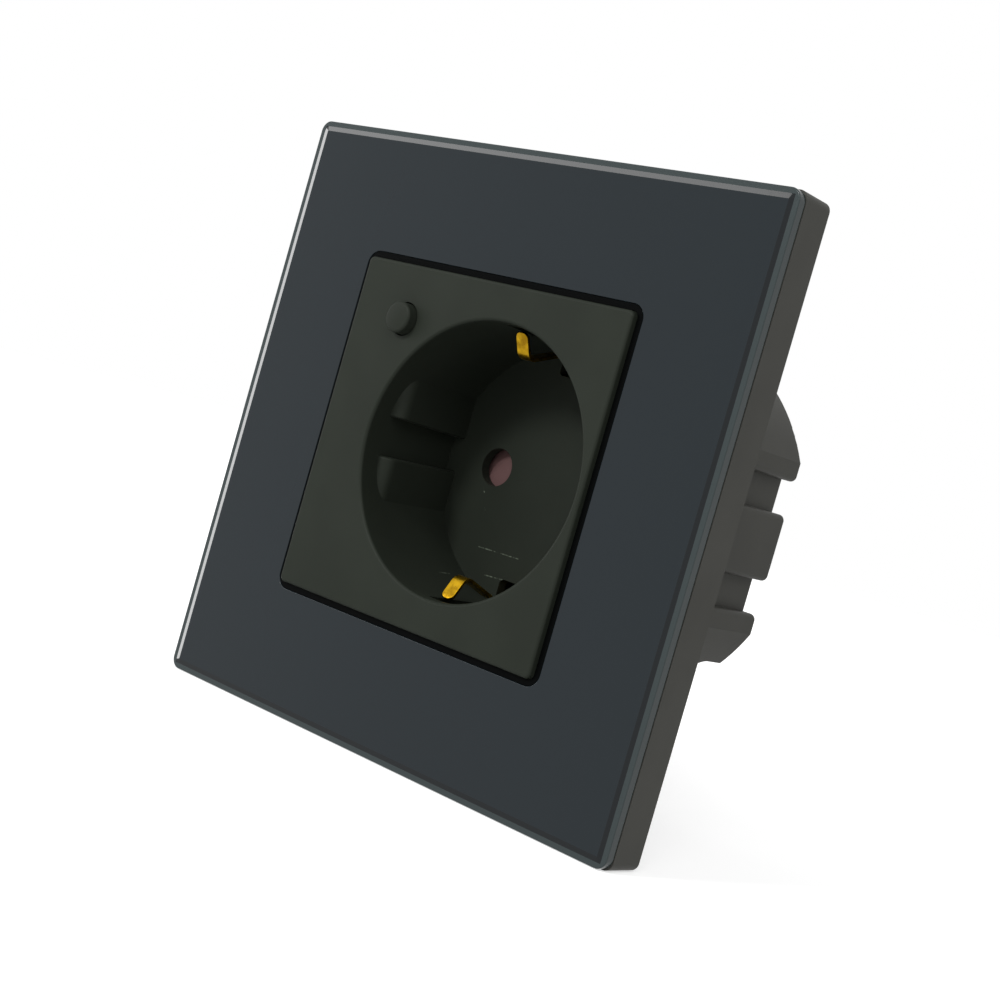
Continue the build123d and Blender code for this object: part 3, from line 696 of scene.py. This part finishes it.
class SOCKET_OT_glass_panel(SocketOperator, bpy.types.Operator):
    """Models the glass panel with its stepped rim and square opening"""

    bl_idname = "socket.glass_panel"
    bl_label = "Glass Panel"

    def execute(self, context):
        sizes = context.scene.socket_sizes
        low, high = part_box("glass_panel")
        half = high.x
        glass = rounded_slab("glass_front", half, sizes.glass_corner, low.y, high.y)
        choose(glass, "faces", lambda f: f.normal.y < -0.9)
        bpy.ops.mesh.inset(thickness=sizes.glass_rim)
        bpy.ops.mesh.inset(thickness=sizes.glass_slope)
        face = half - sizes.glass_rim - sizes.glass_slope / 2
        front = low.y + sizes.glass_step / 2
        choose(glass, "verts", lambda v: v.co.y < front and max(abs(v.co.x), abs(v.co.z)) > face)
        bpy.ops.transform.translate(value=(0, sizes.glass_step, 0))
        # The slope's edges bend by an angle between these, in radians
        shallow, steep = 0.1, 0.2
        choose(glass, "edges", lambda e: shallow < e.calc_face_angle(0) < steep)
        bpy.ops.mesh.mark_sharp()
        finish_mesh()
        margin = 1 * MM
        cut = (low.y - margin, high.y + margin)
        opening = sizes.opening / 2
        cutter = rounded_slab("opening_cutter", opening, sizes.opening_corner, *cut, steps=12)
        finish_mesh()
        apply_modifier(glass, "BOOLEAN", object=cutter, operation="DIFFERENCE", solver="EXACT")
        bpy.data.objects.remove(cutter)
        arris = {"width": sizes.glass_arris, "segments": 3}
        apply_modifier(glass, "BEVEL", limit_method="ANGLE", angle_limit=radians(60), **arris)
        flatten_normals(glass)
        colours = context.scene.socket_colours
        lay_out(glass, glass_finish(colours, half, sizes.glass_rim, sizes.glass_slope))
        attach(glass, "socket")
        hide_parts("glass_panel")
        return {"FINISHED"}


class SOCKET_OT_button(SocketOperator, bpy.types.Operator):
    """Models the push button with its domed front, flange and stem"""

    bl_idname = "socket.button"
    bl_label = "Push Button"

    def execute(self, context):
        sizes = context.scene.socket_sizes
        low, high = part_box("push_button")
        x = (low.x + high.x) / 2
        z = (low.z + high.z) / 2
        front = low.y
        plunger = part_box("switch_plunger")[0].y
        flange_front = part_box("socket_insert")[0].y + sizes.flange_depth
        flange_radius = (high.x - low.x) / 2
        radius = sizes.button_radius
        flat = radius - sizes.button_edge
        steps = []
        for i in range(1, ROUND_STEPS + 1):
            reach = flat * i / ROUND_STEPS
            steps.append((reach, front + sizes.button_crown * (reach / flat) ** 2))
        for i in range(1, ROUND_STEPS + 1):
            angle = pi / 2 * i / ROUND_STEPS
            reach = flat + sizes.button_edge * sin(angle)
            depth = sizes.button_crown + (sizes.button_edge - sizes.button_crown) * (1 - cos(angle))
            steps.append((reach, front + depth))
        steps.append((radius, flange_front))
        steps.append((flange_radius, flange_front))
        steps.append((flange_radius, flange_front + sizes.button_flange))
        steps.append((sizes.button_stem, flange_front + sizes.button_flange))
        steps.append((sizes.button_stem, plunger))
        button = turned("button_cap", x, z, steps)
        finish_mesh()
        lay_out(button, moulded("button_plastic", context.scene.socket_colours.insert))
        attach(button, "button")
        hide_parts("push_button")
        return {"FINISHED"}


class SOCKET_OT_springs(SocketOperator, bpy.types.Operator):
    """Models the gold earth springs, their strap and the tail to the earth terminal"""

    bl_idname = "socket.springs"
    bl_label = "Earth Springs"

    def execute(self, context):
        sizes = context.scene.socket_sizes
        low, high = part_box("earth_bracket")
        x = sizes.well_x
        thickness = sizes.spring_thickness
        half = thickness / 2
        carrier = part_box("contact_carrier")[0]
        strap = carrier.y - sizes.strap_gap - half
        run = sizes.run_height
        corners = [
            (low.y + sizes.leaf_inset, sizes.leaf_tip_height),
            (sizes.knee_depth, sizes.knee_height),
            (sizes.hip_depth, sizes.hip_height),
            (sizes.run_depth, run),
            (strap, run),
            (strap, 0),
        ]
        narrow = sizes.leaf_width / 2
        path, widths = self.round_tip(rounded_path(corners, sizes.spring_bend), narrow)
        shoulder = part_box("shutter")[0].y + sizes.shoulder_gap
        for i, place in enumerate(path):
            if place.x > shoulder or place.y < run / 2:
                widths[i] = sizes.strap_width / 2
        upper = ribbon("earth_springs", x, path, widths, thickness, sizes.spring_edge)
        merging = {"use_mirror_merge": True, "merge_threshold": 0.01 * MM}
        apply_modifier(upper, "MIRROR", use_axis=(False, False, True), **merging)
        tail_top = carrier.z - sizes.tail_drop
        tail_back = high.y - half
        tail_corners = [(strap, tail_top), (tail_back, tail_top), (tail_back, sizes.tail_end)]
        tail_path = rounded_path(tail_corners, sizes.spring_bend)
        tail_widths = [narrow] * len(tail_path)
        tail = ribbon("earth_tail", x, tail_path, tail_widths, thickness, sizes.spring_edge)
        select_only(upper)
        tail.select_set(True)
        bpy.ops.object.join()
        flatten_normals(upper)
        lay_out(upper, gold_finish(context.scene.socket_colours.gold))
        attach(upper, "socket")
        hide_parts("earth_bracket")
        return {"FINISHED"}

    def round_tip(self, path, half_width):
        """Adds points at the start of the path so that the leaf ends in a half round."""
        start = path[0]
        along = (path[1] - start).normalized()
        points = []
        widths = []
        steps = 7
        tip_length = 0.8
        for i in range(1, steps):
            angle = pi / 2 * i / steps
            points.append(start + along * half_width * tip_length * (1 - cos(angle)))
            widths.append(half_width * sin(angle))
        points.append(start + along * half_width * tip_length)
        widths.append(half_width)
        rest = path[1:]
        return points + rest, widths + [half_width] * len(rest)


class SOCKET_OT_mouldings(SocketOperator, bpy.types.Operator):
    """Finishes the plastic mouldings: insert, frame, trim ring, shutter and rear housing"""

    bl_idname = "socket.mouldings"
    bl_label = "Mouldings"

    def execute(self, context):
        colours = context.scene.socket_colours
        finish_node("socket_insert", moulded("insert_plastic", colours.insert, SCRATCH_HIGHLIGHTS))
        body = moulded("body_plastic", colours.body)
        for node in ("panel_frame", "housing_ring", "rear_housing", "contact_carrier"):
            finish_node(node, body)
        finish_node("trim_ring", moulded("trim_plastic", colours.trim))
        finish_node("shutter", moulded("shutter_plastic", colours.shutter))
        return {"FINISHED"}


class SOCKET_OT_metalwork(SocketOperator, bpy.types.Operator):
    """Finishes the contacts, clamps, plate and screws"""

    bl_idname = "socket.metalwork"
    bl_label = "Metalwork"

    def execute(self, context):
        colours = context.scene.socket_colours
        brass = metal("brass", colours.brass, 0.35)
        steel = metal("zinc_plate", colours.steel, 0.38)
        for node in BRASS_NODES:
            finish_node(node, brass)
        for node in STEEL_NODES:
            finish_node(node, steel)
        return {"FINISHED"}


class SOCKET_OT_electronics(SocketOperator, bpy.types.Operator):
    """Finishes the circuit board and what it carries"""

    bl_idname = "socket.electronics"
    bl_label = "Electronics"

    def execute(self, context):
        colours = context.scene.socket_colours
        finish_node("circuit_board", board_finish(colours))
        case = moulded("case_plastic", colours.relay)
        for node in ("relay", "power_supply", "tact_switch", "switch_plunger"):
            finish_node(node, case)
        finish_node("capacitor", moulded("capacitor_sleeve", colours.sleeve))
        return {"FINISHED"}


class SOCKET_PT_panel(bpy.types.Panel):
    """Sidebar panel that lists the pieces"""

    bl_idname = "SOCKET_PT_panel"
    bl_label = "Wall Socket"
    bl_space_type = "VIEW_3D"
    bl_region_type = "UI"
    bl_category = "Wall Socket"

    def draw(self, context):
        for operator in OPERATORS:
            self.layout.operator(operator.bl_idname)
        for group in GROUPS:
            settings = getattr(context.scene, group)
            box = self.layout.box()
            for name in settings.__annotations__:
                box.prop(settings, name)


GROUPS = {"socket_sizes": SocketSizes, "socket_colours": SocketColours, "socket_stage": SocketStage}
OPERATORS = (
    SOCKET_OT_stage,
    SOCKET_OT_glass_panel,
    SOCKET_OT_button,
    SOCKET_OT_springs,
    SOCKET_OT_mouldings,
    SOCKET_OT_metalwork,
    SOCKET_OT_electronics,
)
CLASSES = (*GROUPS.values(), *OPERATORS, SOCKET_PT_panel)


def register():
    """Adds the classes and their settings to Blender."""
    for cls in CLASSES:
        bpy.utils.register_class(cls)
    for name, group in GROUPS.items():
        setattr(bpy.types.Scene, name, bpy.props.PointerProperty(type=group))


def unregister():
    """Takes them out again."""
    for name in GROUPS:
        delattr(bpy.types.Scene, name)
    for cls in reversed(CLASSES):
        bpy.utils.unregister_class(cls)


def main():
    """Builds and finishes every piece."""
    register()
    bpy.ops.socket.stage()
    bpy.ops.socket.glass_panel()
    bpy.ops.socket.button()
    bpy.ops.socket.springs()
    bpy.ops.socket.mouldings()
    bpy.ops.socket.metalwork()
    bpy.ops.socket.electronics()


if __name__ == "__main__":
    main()
